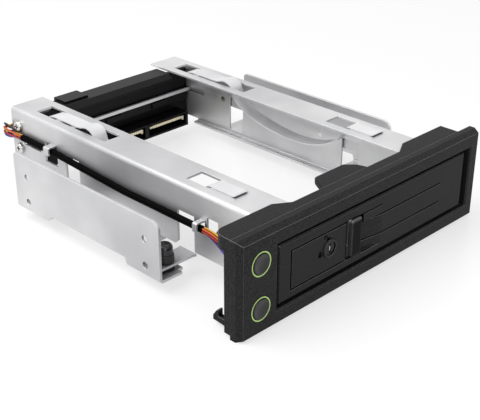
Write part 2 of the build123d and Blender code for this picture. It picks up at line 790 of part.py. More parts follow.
with BuildPart() as door_crank:
    block((crank_pin_x - 2, hinge_x - 0.8), (door_rear, door_rear + 1.2), (crank_bottom, cavity_top))
    with BuildSketch(level(crank_bottom)):
        with Locations((crank_pin_x, crank_pin_depth)):
            Circle(crank_pin_depth - door_rear)
        with Locations((crank_pin_x + 1, door_rear + 1.2)):
            Rectangle(5, 2.4)
    extrude(amount=crank_sheet)
    rod(level(crank_post_low), crank_pin_x, crank_pin_depth, crank_pin_radius, crank_bottom - crank_post_low)
door_crank.part.label = "door_crank"
export_step(door_crank.part, "parts/door_crank.step")

# Latch: handle on a pin with its return spring, and the bolt that it draws
spring_cut = (18.0, 23.4)
finger_bottom = 27.2
finger_height = 1.5

with BuildPart() as latch_handle:
    with BuildSketch(level(handle_bottom)):
        with Locations((latch_x, latch_depth)):
            Circle(hub_radius)
        with BuildLine():
            Polyline(
                (latch_x, latch_depth + hub_radius),
                (latch_x - hub_radius + 0.1, latch_depth),
                (handle_face_left, handle_front),
                (handle_right - 2.4, handle_front),
                (handle_right, handle_front + 2.4),
                (handle_right, handle_front + 3.8),
                close=True,
            )
        make_face()
    extrude(amount=handle_top - handle_bottom)
    fillet(edges().filter_by(Axis.Z).sort_by(Axis.Y)[:2], radius=0.5)
    front_edges = edges().group_by(Axis.Y)[0].filter_by(Axis.X)
    fillet(front_edges, radius=1.2)
    # Finger that moves the bolt
    with BuildSketch(level(finger_bottom)):
        with Locations((latch_x, latch_depth + finger_reach)):
            Circle(finger_radius)
        with Locations((latch_x, latch_depth + finger_reach / 2)):
            Rectangle(2 * finger_radius, finger_reach)
    extrude(amount=finger_height)
    # Room for the spring, and the bore
    rod(level(spring_cut[0]), latch_x, latch_depth, 2.0, spring_cut[1] - spring_cut[0], Mode.SUBTRACT)
    rod(level(0), latch_x, latch_depth, latch_pin_radius + running_gap, 50, Mode.SUBTRACT)
latch_handle.part.label = "latch_handle"
export_step(latch_handle.part, "parts/latch_handle.step")

with BuildPart() as latch_pin:
    rod(level(cavity_bottom), latch_x, latch_depth, latch_pin_radius, cavity_top - cavity_bottom)
latch_pin.part.label = "latch_pin"
export_step(latch_pin.part, "parts/latch_pin.step")

coil_radius = 1.35
coil_wire = 0.25
coil_turns = 5

with BuildPart() as latch_spring:
    coil_pitch = (spring_cut[1] - spring_cut[0] - 1.6) / coil_turns
    coil_plane = Plane((latch_x, front_y + latch_depth, spring_cut[0] + 0.8))
    with BuildLine(coil_plane) as coil_line:
        Helix(pitch=coil_pitch, height=coil_pitch * coil_turns, radius=coil_radius)
    with BuildSketch(Plane(origin=coil_line.line @ 0, z_dir=coil_line.line % 0)):
        Circle(coil_wire)
    sweep(is_frenet=True)
latch_spring.part.label = "latch_spring"
export_step(latch_spring.part, "parts/latch_spring.step")

with BuildPart() as latch_bolt:
    with BuildSketch(level(bolt_bottom)):
        with BuildLine():
            Polyline(
                (bolt_right, bolt_front),
                (nose_left, bolt_front),
                (nose_left, bolt_rear - 1.0),
                (nose_left + nose_width - 1.4, bolt_rear),
                (bolt_right, bolt_rear),
                close=True,
            )
        make_face()
    extrude(amount=bolt_top - bolt_bottom)
    block((latch_x - 1.3, latch_x + 1.3), (bolt_front - 1, bolt_rear + 1),
          (finger_bottom - slide_gap, finger_bottom + finger_height + slide_gap), Mode.SUBTRACT)
latch_bolt.part.label = "latch_bolt"
export_step(latch_bolt.part, "parts/latch_bolt.step")

# Key lock
barrel_rear = door_rear + nut_thickness + 0.1
plug_rear = barrel_rear + 0.4

with BuildPart() as lock_barrel:
    rod(upright(door_front - barrel_proud), lock_x, lock_z, barrel_radius,
        door_front - barrel_proud - barrel_rear)
    chamfer(edges().group_by(Axis.Y)[0], length=0.25)
    rod(upright(door_front + door_wall), lock_x, lock_z, collar_radius, -1.2)
    rod(upright(-1), lock_x, lock_z, plug_radius + running_gap, -20, Mode.SUBTRACT)
lock_barrel.part.label = "lock_barrel"
export_step(lock_barrel.part, "parts/lock_barrel.step")

with BuildPart() as lock_nut:
    with BuildSketch(upright(door_rear)):
        with Locations((lock_x, lock_z)):
            RegularPolygon(radius=nut_across_flats / 2, side_count=6, major_radius=False)
            Circle(barrel_radius + 0.02, mode=Mode.SUBTRACT)
    extrude(amount=-nut_thickness)
lock_nut.part.label = "lock_nut"
export_step(lock_nut.part, "parts/lock_nut.step")

with BuildPart() as lock_plug:
    rod(upright(door_front - plug_proud), lock_x, lock_z, plug_radius, door_front - plug_proud - plug_rear)
    block((lock_x - 0.4, lock_x + 0.4), (door_front - 1, door_front + 6), (lock_z - 2.2, lock_z + 2.2),
          Mode.SUBTRACT)
    rod(upright(plug_rear - 3), lock_x, lock_z, 0.8, -5, Mode.SUBTRACT)
lock_plug.part.label = "lock_plug"
export_step(lock_plug.part, "parts/lock_plug.step")

with BuildPart() as lock_cam:
    with BuildSketch(upright(plug_rear)):
        with Locations((lock_x - (cam_length - cam_width / 2) / 2, lock_z)):
            Rectangle(cam_length - cam_width / 2, cam_width)
        with Locations((lock_x, lock_z)):
            Circle(cam_width / 2 + 0.8)
        with Locations((lock_x - cam_length + cam_width / 2, lock_z)):
            Circle(cam_width / 2)
        with Locations((lock_x, lock_z)):
            Circle(0.8, mode=Mode.SUBTRACT)
    extrude(amount=-cam_thickness)
lock_cam.part.label = "lock_cam"
export_step(lock_cam.part, "parts/lock_cam.step")

with BuildPart() as cam_screw:
    rod(upright(plug_rear - 2.8), lock_x, lock_z, 0.78, -2.8 - cam_thickness)
    rod(upright(plug_rear + cam_thickness), lock_x, lock_z, 2.0, -1.3)
cam_screw.part.label = "cam_screw"
export_step(cam_screw.part, "parts/cam_screw.step")

# Ejector: a crossbar behind the drive on a strip that the door's crank pulls forward
tenon_bottom = crossbar_bottom + 0.2
tenon_top = crossbar_top - 0.2

with BuildPart() as eject_crossbar:
    block((-rail_outer + 0.1, slider_left), (crossbar_depth, crossbar_depth + crossbar_sheet),
          (crossbar_bottom, crossbar_top))
    block((slider_left, slider_left + slider_sheet + 0.6), (crossbar_depth, crossbar_depth + crossbar_sheet),
          (tenon_bottom, tenon_top))
eject_crossbar.part.label = "eject_crossbar"
export_step(eject_crossbar.part, "parts/eject_crossbar.step")

with BuildPart() as eject_bumper:
    block((-bumper_half, bumper_half), (crossbar_depth, crossbar_depth + crossbar_sheet),
          (bumper_bottom, crossbar_bottom))
    for x in (-30, 0, 30):
        block((x - 5, x + 5), (crossbar_depth - 0.8, crossbar_depth + 0.1),
              (bumper_bottom + 0.8, crossbar_bottom - 0.8))
eject_bumper.part.label = "eject_bumper"
export_step(eject_bumper.part, "parts/eject_bumper.step")

with BuildPart() as eject_slider:
    with BuildSketch(sideways(slider_left)):
        with BuildLine():
            Polyline((slider_rear, slider_bottom), (slider_rear, slider_top), (34, slider_top))
            ThreePointArc((34, slider_top), (27, 27.6), (slider_front, 26.6))
            Polyline((slider_front, 26.6), (slider_front, fork_bottom), (27, fork_bottom))
            ThreePointArc((27, fork_bottom), (34, 23.6), (40, slider_bottom))
            Line((40, slider_bottom), (slider_rear, slider_bottom))
        make_face()
    extrude(amount=slider_sheet)
    # Fork that holds the crank's pin
    fork_front = crank_pin_depth - fork_slot_half - fork_wall
    block((slider_left, fork_right), (fork_front, slider_front + 2), (fork_bottom, fork_bottom + fork_sheet))
    block((crank_pin_x - 3.64, fork_right + 1),
          (crank_pin_depth - fork_slot_half, crank_pin_depth + fork_slot_half),
          (fork_bottom - 1, fork_bottom + fork_sheet + 1), Mode.SUBTRACT)
    chamfer(edges().filter_by(Axis.Z).group_by(Axis.X)[-1].sort_by(Axis.Y)[-1], length=3.0)
    # Guide slots and the crossbar's mortise
    for depth in rivet_depths:
        block((slider_left - 1, slider_left + 2), (depth - 1.8, depth + eject_travel + 1.8), (23.2, 26.8),
              Mode.SUBTRACT)
    block((slider_left - 1, slider_left + 2), (crossbar_depth, crossbar_depth + crossbar_sheet),
          (tenon_bottom, tenon_top), Mode.SUBTRACT)
eject_slider.part.label = "eject_slider"
export_step(eject_slider.part, "parts/eject_slider.step")

with BuildPart() as slider_rivets:
    for depth in rivet_depths:
        rod(sideways(rail_inner), depth, 25, rivet_radius,
            slider_left + slider_sheet + slide_gap - rail_inner)
        rod(sideways(slider_left + slider_sheet + slide_gap), depth, 25, 2.6, 0.9)
slider_rivets.part.label = "slider_rivets"
export_step(slider_rivets.part, "parts/slider_rivets.step")

# Backplane: moulded housing between the rails, with its board and connectors
with BuildPart() as backplane_housing:
    block((-housing_half, housing_half), (housing_front, housing_rear), (housing_bottom, beam_bottom + 0.1))
    with BuildSketch(sideways(-beam_half)):
        with BuildLine():
            Polyline((beam_front, beam_bottom), (beam_front, 36), (beam_front + 3, beam_top),
                     (housing_rear + 1.5, beam_top), (housing_rear + 1.5, beam_bottom), close=True)
        make_face()
    extrude(amount=2 * beam_half)
    # Raised tab at the left end of the beam
    block((-30, -16.5), (162, housing_rear + 3), (beam_top - 1, beam_top + 1))
    for side in (-1, 1):
        block((side * ear_inner, side * housing_half), (housing_rear - 0.5, housing_rear + ear_depth),
              (ear_bottom, beam_bottom))
        for height in rear_screw_heights:
            rod(sideways(side * (ear_inner - 1)), rear_screw_depth, height, rear_screw_radius + 0.02,
                side * 8, Mode.SUBTRACT)
    block((receptacle_left - 0.1, receptacle_right + 0.1), (housing_front - 1, housing_rear + 0.1),
          (housing_bottom - 1, receptacle_top + 0.1), Mode.SUBTRACT)
    # Ribs on the front face beside the receptacle
    for x in (-40, -24, -8):
        block((x, x + 1.5), (housing_front - 1.2, housing_front + 0.1), (housing_bottom, bumper_bottom - 0.8))
    pcb_screw_places = [(x, z) for x in (-37.5, 37.5) for z in (17.5, 30.5)]
    for x, z in pcb_screw_places:
        rod(upright(housing_front + 0.4), x, z, 1.02, -5, Mode.SUBTRACT)
backplane_housing.part.label = "backplane_housing"
export_step(backplane_housing.part, "parts/backplane_housing.step")

with BuildPart() as backplane_board:
    block((-pcb_half, pcb_half), (housing_rear, pcb_rear), (housing_bottom + 0.5, beam_bottom - 0.4))
    block((pcb_half - 1, housing_half - 0.2), (housing_rear, pcb_rear),
          (housing_bottom + 0.5, ear_bottom - 0.4))
    for x, z in pcb_screw_places:
        rod(upright(housing_rear - 1), x, z, 1.1, -5, Mode.SUBTRACT)
backplane_board.part.label = "backplane_board"
export_step(backplane_board.part, "parts/backplane_board.step")

with BuildPart() as pcb_screws:
    for x, z in pcb_screw_places:
        rod(upright(housing_front + 0.6), x, z, 1.0, housing_front + 0.6 - pcb_rear)
        rod(upright(pcb_rear), x, z, 2.2, -1.4)
    fillet(edges().filter_by(GeomType.CIRCLE).group_by(Axis.Y)[-1], radius=0.6)
pcb_screws.part.label = "pcb_screws"
export_step(pcb_screws.part, "parts/pcb_screws.step")

with BuildPart() as rear_side_screws:
    for side in (-1, 1):
        for height in rear_screw_heights:
            rod(sideways(side * (ear_inner + 0.2)), rear_screw_depth, height, rear_screw_radius,
                side * (rail_outer - ear_inner - 0.2))
            rod(sideways(side * rail_outer), rear_screw_depth, height, rear_screw_head, side * 1.7)
    for group in (0, -1):
        fillet(edges().filter_by(GeomType.CIRCLE).group_by(Axis.X)[group], radius=0.9)
rear_side_screws.part.label = "rear_side_screws"
export_step(rear_side_screws.part, "parts/rear_side_screws.step")

# Receptacle that the drive plugs into: a shroud with a data tongue and a power tongue
tongue_spans = ((4.7, 14.5), (19.2, 42.5))
blade_bottom = 11.4
blade_top = 12.6

with BuildPart() as drive_receptacle:
    block((receptacle_left, receptacle_right), (receptacle_front, housing_rear),
          (receptacle_bottom, receptacle_top))
    for span in tongue_spans:
        block((span[0] - 1.2, span[1] + 1.2), (receptacle_front - 1, receptacle_front + 6.5),
              (receptacle_bottom + 0.9, receptacle_top - 0.6), Mode.SUBTRACT)
drive_receptacle.part.label = "drive_receptacle"
export_step(drive_receptacle.part, "parts/drive_receptacle.step")

with BuildPart() as contact_tongues:
    for span in tongue_spans:
        block(span, (receptacle_front + 0.6, receptacle_front + 6.5), (blade_bottom, blade_top))
        block((span[1] - 1.2, span[1]), (receptacle_front + 0.6, receptacle_front + 6.5),
              (blade_bottom - 1, blade_top))
contact_tongues.part.label = "contact_tongues"
export_step(contact_tongues.part, "parts/contact_tongues.step")

# Connectors for the computer's cables at the rear


def host_connector(x_span, z_span):
    with BuildPart() as connector:
        block(x_span, (pcb_rear, rear_reach), z_span)
        block((x_span[0] + 1, x_span[1] - 1), (pcb_rear + 2.5, rear_reach + 1),
              (z_span[0] + 0.9, z_span[1] - 0.9),
              Mode.SUBTRACT)
        middle = (z_span[0] + z_span[1]) / 2
        block((x_span[0] + 2.2, x_span[1] - 2.2), (pcb_rear + 2, rear_reach - 1),
              (middle - 0.6, middle + 0.6))
    return connector.part


for name, x_span in (("host_data_connector", (-22.0, -5.0)), ("host_power_connector", (2.0, 33.0))):
    connector = host_connector(x_span, (18.0, 24.0))
    connector.label = name
    export_step(connector, f"parts/{name}.step")

socket_depth = pcb_rear + 4.2
socket_x = -42.6
socket_low = 20.0
socket_pitch = 2.0

with BuildPart() as lead_socket:
    block((socket_x - 2.2, socket_x + 2.2), (pcb_rear, socket_depth), (socket_low - 1.6, socket_low + 11.6))
    block((socket_x + 1.5, socket_x + 3), (socket_depth - 2.5, socket_depth + 1),
          (socket_low, socket_low + 10),
          Mode.SUBTRACT)
lead_socket.part.label = "lead_socket"
export_step(lead_socket.part, "parts/lead_socket.step")

# Lead of the buttons and lamps: a sleeve along the left rail, with six wires fanning out of each end


def tube(points, radius):
    placed = [(x, front_y + depth, z) for x, depth, z in points]
    with BuildPart() as run:
        with BuildLine() as route:
            FilletPolyline(*placed, radius=bend_radii(placed))
        with BuildSketch(Plane(origin=route.line @ 0, z_dir=route.line % 0)):
            Circle(radius)
        sweep()
    return run.part


sleeve = tube(
    [
        (sleeve_x, sleeve_front, sleeve_front_z),
        (sleeve_x, 90, sleeve_front_z),
        (sleeve_x, 138, sleeve_rear_z),
        (sleeve_x, sleeve_rear, sleeve_rear_z),
    ],
    sleeve_radius,
)
sleeve.label = "lead_sleeve"
export_step(sleeve, "parts/lead_sleeve.step")

seats = []
for turn in range(len(wire_names)):
    angle = radians(15) + turn * pi / 3
    seats.append((wire_circle * cos(angle), wire_circle * sin(angle)))
across = sorted(seats)
upward = sorted(seats, key=lambda seat: seat[1])

for name, seat in zip(wire_names, seats):
    header_x = button_x + header_pitch * (across.index(seat) - 2.5)
    front_run = [
        (sleeve_x + seat[0], sleeve_front, sleeve_front_z + seat[1]),
        (sleeve_x + seat[0], sleeve_front - 4, sleeve_front_z + seat[1]),
        (sleeve_x - 1.6 + 1.7 * seat[0], sleeve_front - 13, sleeve_front_z + 1.9 * seat[1] - 4.4),
        ((sleeve_x - 3.0 + header_x) / 2, sleeve_front - 19.5, sleeve_front_z + 2.2 * seat[1] - 5.0),
        (header_x, header_depth + 5, header_z),
        (header_x, header_depth, header_z),
    ]
    pin_z = socket_low + socket_pitch * (upward.index(seat) - 0.1)
    rear_run = [
        (sleeve_x + seat[0], sleeve_rear, sleeve_rear_z + seat[1]),
        (sleeve_x + seat[0], sleeve_rear + 4, sleeve_rear_z + seat[1]),
        (sleeve_x + 0.4 * seat[0], rear_reach - 3.0, (sleeve_rear_z + pin_z) / 2),
        (sleeve_x + 3.5, rear_reach - 1.0, pin_z),
        (socket_x, rear_reach - 0.9, pin_z),
        (socket_x, socket_depth, pin_z),
    ]
    wire = Compound(label=f"wire_{name}",
                    children=[tube(front_run, wire_radius), tube(rear_run, wire_radius)])
    export_step(wire, f"parts/wire_{name}.step")
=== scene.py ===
# Hot swap drive cage: finishes, screw heads, contacts, lock face, buttons, wires, light and camera
import json
from math import cos, pi, radians, sin

import bpy
import mathutils
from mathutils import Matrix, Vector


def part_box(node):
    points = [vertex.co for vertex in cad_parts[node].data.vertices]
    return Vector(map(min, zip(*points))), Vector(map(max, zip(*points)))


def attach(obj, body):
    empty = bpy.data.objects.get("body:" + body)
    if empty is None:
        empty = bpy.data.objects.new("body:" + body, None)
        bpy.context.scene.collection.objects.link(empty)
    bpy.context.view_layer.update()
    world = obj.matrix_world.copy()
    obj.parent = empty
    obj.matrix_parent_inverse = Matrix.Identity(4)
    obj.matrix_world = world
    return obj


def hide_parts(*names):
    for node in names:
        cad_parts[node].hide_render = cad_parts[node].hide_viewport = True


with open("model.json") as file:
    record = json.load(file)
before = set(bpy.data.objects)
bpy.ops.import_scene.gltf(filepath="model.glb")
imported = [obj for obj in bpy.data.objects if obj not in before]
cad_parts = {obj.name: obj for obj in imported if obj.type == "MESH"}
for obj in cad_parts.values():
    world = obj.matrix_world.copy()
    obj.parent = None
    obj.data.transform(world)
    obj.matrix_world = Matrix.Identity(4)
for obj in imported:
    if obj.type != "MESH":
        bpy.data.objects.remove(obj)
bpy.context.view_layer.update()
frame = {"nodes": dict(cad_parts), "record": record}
nodes = frame["nodes"]
bpy.ops.object.select_all(action="DESELECT")
mm = 0.001  # lengths are metres where no name or comment says millimetres
white = (1, 1, 1, 1)
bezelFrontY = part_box("bezel")[0].y
smoothAngle = radians(40)  # edges sharper than this stay crisp
paintedHighlightSide = (-0.45, -0.2, 0.87)  # towards the large lamp; edges facing it get a painted highlight line
paintedShineSide = (-0.3, -0.3, 0.9)  # faces turned this way get a painted stronger reflection
squareOn = 0.95  # how squarely a picked face has to look along its axis
print("frame loaded:", len(nodes), "nodes")


def toLinear(hexColour):
    parts = [int(hexColour[i:i + 2], 16) / 255 for i in (1, 3, 5)]
    return tuple(p / 12.92 if p <= 0.04045 else ((p + 0.055) / 1.055) ** 2.4 for p in parts) + (1.0,)


def addNode(tree, kind, settings=None, links=None):
    node = tree.nodes.new(kind)
    for name, value in (settings or {}).items():
        if name in node.inputs:
            node.inputs[name].default_value = value
        else:
            setattr(node, name, value)
    for name, source in (links or {}).items():
        tree.links.new(source, node.inputs[name])
    return node


def newMaterial(name):
    material = bpy.data.materials.new(name)
    material.use_nodes = True
    material.node_tree.nodes.clear()
    return material, material.node_tree


def mapRange(tree, source, low, high, start=0.0, end=1.0):
    return addNode(tree, "ShaderNodeMapRange",
                   {"From Min": low, "From Max": high, "To Min": start, "To Max": end},
                   {"Value": source}).outputs["Result"]


def dotWith(tree, source, other):
    likeness = addNode(tree, "ShaderNodeVectorMath", {"operation": "DOT_PRODUCT"})
    tree.links.new(source, likeness.inputs[0])
    if isinstance(other, tuple):
        likeness.inputs[1].default_value = other
    else:
        tree.links.new(other, likeness.inputs[1])
    return likeness.outputs["Value"]


def combine(tree, operation, first, second):
    result = addNode(tree, "ShaderNodeMath", {"operation": operation})
    for socket, value in zip(result.inputs, (first, second)):
        if isinstance(value, float):
            socket.default_value = value
        else:
            tree.links.new(value, socket)
    return result.outputs[0]


def placeNoise(tree, place, sizeMm, detail, roughness=0.5):
    return addNode(tree, "ShaderNodeTexNoise",
                   {"Scale": 1 / (sizeMm * mm), "Detail": detail, "Roughness": roughness}, {"Vector": place})


def toneRamp(tree, source, stops):
    ramp = addNode(tree, "ShaderNodeValToRGB", {}, {"Fac": source})
    for element, (position, hexColour) in zip(ramp.color_ramp.elements, stops):
        element.position = position
        element.color = toLinear(hexColour)
    return ramp


def bevelNormal(tree, look):
    return addNode(tree, "ShaderNodeBevel", {"samples": 6, "Radius": look["edgeMm"] * mm})


# Where noise counts as grain; for the painted edge highlight, where a rounded edge counts as turned from its
# face, as facing the large lamp and as outside the painted crease shade; and where a face counts as turned up
# for the painted top reflection
ranges = {"grain": (0.3, 0.7), "turned": (0.985, 0.88), "lit": (0.3, 0.7), "unshaded": (0.4, 0.7),
          "sky": (0.3, 0.75)}


def grainShine(tree, grain, rough, spread):
    return mapRange(tree, grain.outputs["Fac"], *ranges["grain"], rough - spread[0], rough + spread[1])


def paintShadeAndHighlight(tree, edge, tone, look):
    # Painted shade darkens the creases, and a painted highlight puts a thin light line on edges facing up and
    # left
    nearby = addNode(tree, "ShaderNodeAmbientOcclusion", {"samples": 8, "Distance": look["creaseMm"] * mm})
    openness = mapRange(tree, nearby.outputs["AO"], look["creaseFrom"], look["creaseTo"])
    dark = addNode(tree, "ShaderNodeMixRGB", {"Color1": toLinear(look["paintedShadeTone"])},
                   {"Fac": openness, "Color2": tone.outputs[0]})
    face = addNode(tree, "ShaderNodeNewGeometry")
    flatness = dotWith(tree, edge.outputs["Normal"], face.outputs["Normal"])
    turned = mapRange(tree, flatness, *ranges["turned"])
    lit = mapRange(tree, dotWith(tree, edge.outputs["Normal"], paintedHighlightSide), *ranges["lit"])
    unshaded = mapRange(tree, nearby.outputs["AO"], *ranges["unshaded"])
    paintedHighlightMask = combine(tree, "MULTIPLY", combine(tree, "MULTIPLY", turned, lit), unshaded)
    light = addNode(tree, "ShaderNodeMixRGB", {"Color2": toLinear(look["paintedHighlightTone"])},
                    {"Fac": paintedHighlightMask, "Color1": dark.outputs[0]})
    return light.outputs[0], openness


# Every plastic gets painted shade and a painted highlight: ambient occlusion darkens its creases towards a
# near-black tone, and its edges get a light line in its lighter tone unless it names another
plasticBase = {"roughSpread": (0.05, 0.07), "cloudShare": 0.25, "grainDepth": 0.12, "coatRough": 0.15,
               "crease": {"creaseMm": 2.0, "creaseFrom": 0.42, "creaseTo": 0.84, "paintedShadeTone": "#020202"}}


def plasticMaterial(name, look):
    material, tree = newMaterial(name)
    place = addNode(tree, "ShaderNodeTexCoord")
    grain = placeNoise(tree, place.outputs["Object"], look["grainMm"], 3.0, 0.6)
    cloud = placeNoise(tree, place.outputs["Object"], look["cloudMm"], 2.0)
    fine = toneRamp(tree, grain.outputs["Fac"], ((look.get("fineFrom", 0.36), look["low"]),
                                                 (look.get("fineTo", 0.66), look["high"])))
    tone = addNode(tree, "ShaderNodeMixRGB", {"blend_type": "MULTIPLY", "Fac": plasticBase["cloudShare"]},
                   {"Color1": fine.outputs["Color"], "Color2": cloud.outputs["Fac"]})
    shine = grainShine(tree, grain, look["rough"], plasticBase["roughSpread"])
    edge = bevelNormal(tree, look)
    crease = {**plasticBase["crease"], "paintedHighlightTone": look.get("paintedHighlightTone", look["high"])}
    colour, openness = paintShadeAndHighlight(tree, edge, tone, crease)
    # Painted shade on the reflection too: the reflection level falls to nothing in the creases
    mirror = mapRange(tree, openness, 0.0, 1.0, 0.0, look.get("mirror", 0.5))
    if "paintedTopShine" in look:  # painted reflection: fronts reflect little, as if mirroring a dark room, and what faces up reflects strongly
        upward = dotWith(tree, edge.outputs["Normal"], paintedShineSide)
        gain = mapRange(tree, upward, *ranges["sky"], 1.0, look["paintedTopShine"] / look["mirror"])
        mirror = combine(tree, "MULTIPLY", mirror, gain)
    bump = addNode(tree, "ShaderNodeBump",
                   {"Strength": look["bump"], "Distance": look["grainMm"] * plasticBase["grainDepth"] * mm},
                   {"Height": grain.outputs["Fac"], "Normal": edge.outputs["Normal"]})
    skin = addNode(tree, "ShaderNodeBsdfPrincipled",
                   {"IOR": look["ior"], "Coat Weight": look.get("coat", 0.0),
                    "Coat Roughness": plasticBase["coatRough"]},
                   {"Base Color": colour, "Roughness": shine, "Specular IOR Level": mirror,
                    "Normal": bump.outputs["Normal"]})
    addNode(tree, "ShaderNodeOutputMaterial", {}, {"Surface": skin.outputs["BSDF"]})
    return material


# Every metal gets painted shade in its creases, towards its own dark tone, and a painted white highlight line
# on edges facing up and left
metalBase = {"roughSpread": (0.06, 0.06), "grainDepthMm": 0.02,
             "crease": {"creaseMm": 3.0, "creaseFrom": 0.1, "creaseTo": 0.75, "paintedHighlightTone": "#fbfbfb"}}


def metalMaterial(name, look):
    material, tree = newMaterial(name)
    place = addNode(tree, "ShaderNodeTexCoord")
    rolled = addNode(tree, "ShaderNodeMapping", {"Scale": look["stretch"]},
                     {"Vector": place.outputs["Object"]})
    grain = placeNoise(tree, rolled.outputs["Vector"], look["grainMm"], 4.0)
    cloud = placeNoise(tree, place.outputs["Object"], look["cloudMm"], 3.0)
    tone = toneRamp(tree, cloud.outputs["Fac"], ((0.3, look["low"]), (0.7, look["high"])))
    shine = grainShine(tree, grain, look["rough"], metalBase["roughSpread"])
    if look["edgeMm"]:
        edge = bevelNormal(tree, look)
    else:  # a thin strip has no room for a rounded edge
        edge = addNode(tree, "ShaderNodeNewGeometry")
    crease = {**metalBase["crease"], "paintedShadeTone": look["paintedShadeTone"]}
    colour, openness = paintShadeAndHighlight(tree, edge, tone, crease)
    bump = addNode(tree, "ShaderNodeBump",
                   {"Strength": look["bump"], "Distance": metalBase["grainDepthMm"] * mm},
                   {"Height": grain.outputs["Fac"], "Normal": edge.outputs["Normal"]})
    skin = addNode(tree, "ShaderNodeBsdfPrincipled", {"Metallic": look["metallic"]},
                   {"Base Color": colour, "Roughness": shine, "Normal": bump.outputs["Normal"]})
    addNode(tree, "ShaderNodeOutputMaterial", {}, {"Surface": skin.outputs["BSDF"]})
    return material


# Spark-eroded ABS: a dull black with a fine grain, drawn at 0.35 mm so that it shows; painted shade in its
# creases and a painted grey highlight line on its upper left edges
texturedAbs = plasticMaterial("texturedBlackAbs", {
    "low": "#09090a", "high": "#333335", "fineFrom": 0.43, "fineTo": 0.62, "grainMm": 0.35, "cloudMm": 40,
    "rough": 0.5, "bump": 0.35, "edgeMm": 0.4, "paintedHighlightTone": "#86868a", "ior": 1.54, "mirror": 0.1})
# Polished ABS: the handle, deep black; a painted reflection makes what faces up shine, and its edges get a
# painted highlight line
smoothAbs = plasticMaterial("polishedBlackAbs", {
    "low": "#030303", "high": "#060607", "grainMm": 0.4, "cloudMm": 20, "rough": 0.16, "bump": 0.02,
    "edgeMm": 0.8, "paintedHighlightTone": "#c4c4c6", "ior": 1.54, "mirror": 0.04, "paintedTopShine": 1.0})
# Satin ABS of the buttons, whose dish shows as a soft gradient; the edges get a faint painted highlight line
buttonAbs = plasticMaterial("satinBlackAbs", {
    "low": "#101011", "high": "#1a1a1b", "grainMm": 0.4, "cloudMm": 10, "rough": 0.34, "bump": 0.05,
    "edgeMm": 0.2, "paintedHighlightTone": "#4c4c4e", "ior": 1.54, "mirror": 0.4})
# Glass filled nylon: deep black with a faint sheen and a faint painted highlight line on the edges
blackNylon = plasticMaterial("glassFilledNylon", {
    "low": "#08080a", "high": "#141416", "grainMm": 0.5, "cloudMm": 30, "rough": 0.4, "bump": 0.12,
    "edgeMm": 0.3, "paintedHighlightTone": "#3a3a3c", "ior": 1.53, "mirror": 0.14})
# Cream nylon of the receptacle's tongues and the small lead connectors
creamNylon = plasticMaterial("creamNylon", {
    "low": "#ddd3b8", "high": "#ece4cd", "grainMm": 0.5, "cloudMm": 12, "rough": 0.4, "bump": 0.1,
    "edgeMm": 0.15, "ior": 1.53})
# Solder mask over a glass epoxy board: green with a clear gloss on top
solderMask = plasticMaterial("greenSolderMask", {
    "low": "#0f3d22", "high": "#1a5530", "grainMm": 1.2, "cloudMm": 15, "rough": 0.3, "bump": 0.15,
    "edgeMm": 0.1, "ior": 1.5, "coat": 0.5})
# Moulded rubber: dark and dull
grommetRubber = plasticMaterial("mouldedRubber", {
    "low": "#131313", "high": "#1d1d1d", "grainMm": 0.6, "cloudMm": 10, "rough": 0.6, "bump": 0.3,
    "edgeMm": 0.4, "ior": 1.52})
# Extruded PVC tubing, soft black with a long highlight
pvcTube = plasticMaterial("extrudedPvc", {
    "low": "#020202", "high": "#030303", "grainMm": 0.8, "cloudMm": 20, "rough": 0.6, "bump": 0.1,
    "edgeMm": 0.1, "ior": 1.53, "mirror": 0.03})
# Acrylic light guide, clear yellow green
lightGuide = plasticMaterial("acrylicLightGuide", {
    "low": "#a4c66c", "high": "#b9d886", "grainMm": 0.8, "cloudMm": 6, "rough": 0.25, "bump": 0.02,
    "edgeMm": 0.1, "ior": 1.49})
# Lacquered zinc die casting of the lock: black, with painted light lines on the edges
lockLacquer = plasticMaterial("lacqueredDieCasting", {
    "low": "#040405", "high": "#08080a", "grainMm": 0.5, "cloudMm": 8, "rough": 0.22, "bump": 0.05,
    "edgeMm": 0.35, "paintedHighlightTone": "#77777a", "ior": 1.5, "mirror": 0.2})
# Matte black ink of the two marks, darker than the textured door
markInk = plasticMaterial("matteBlackInk", {
    "low": "#010101", "high": "#020202", "grainMm": 0.3, "cloudMm": 4, "rough": 0.7, "bump": 0.02,
    "edgeMm": 0.02, "paintedHighlightTone": "#020202", "ior": 1.5, "mirror": 0.02})

# Zinc plated sheet: pale grey satin with a faint rolling grain along the rail; painted shade in the creases
# and a painted white highlight line on the edges
zincSheet = metalMaterial("zincPlatedSheet", {
    "low": "#b4b4b6", "high": "#dededf", "paintedShadeTone": "#5c5c5f", "grainMm": 0.6, "cloudMm": 55, "rough": 0.4,
    "bump": 0.05, "stretch": (1.0, 0.08, 1.0), "edgeMm": 0.25, "metallic": 0.68})
# Rolled stainless spring strip: brighter than the sheet, with painted shade in the creases
springStrip = metalMaterial("stainlessStrip", {
    "low": "#d2d2d4", "high": "#e4e4e5", "paintedShadeTone": "#77777a", "grainMm": 2.0, "cloudMm": 18,
    "rough": 0.36, "bump": 0.0, "stretch": (1.0, 0.3, 1.0), "edgeMm": 0.0, "metallic": 0.45})
# Blackened steel of the grommets' studs: dark with a metal sheen; painted shade in the creases and a painted
# highlight line on the edges
darkSteel = metalMaterial("blackenedSteel", {
    "low": "#2c2c2e", "high": "#424244", "paintedShadeTone": "#0a0a0a", "grainMm": 0.4, "cloudMm": 5, "rough": 0.28,
    "bump": 0.05, "stretch": (1.0, 1.0, 1.0), "edgeMm": 0.2, "metallic": 0.8})
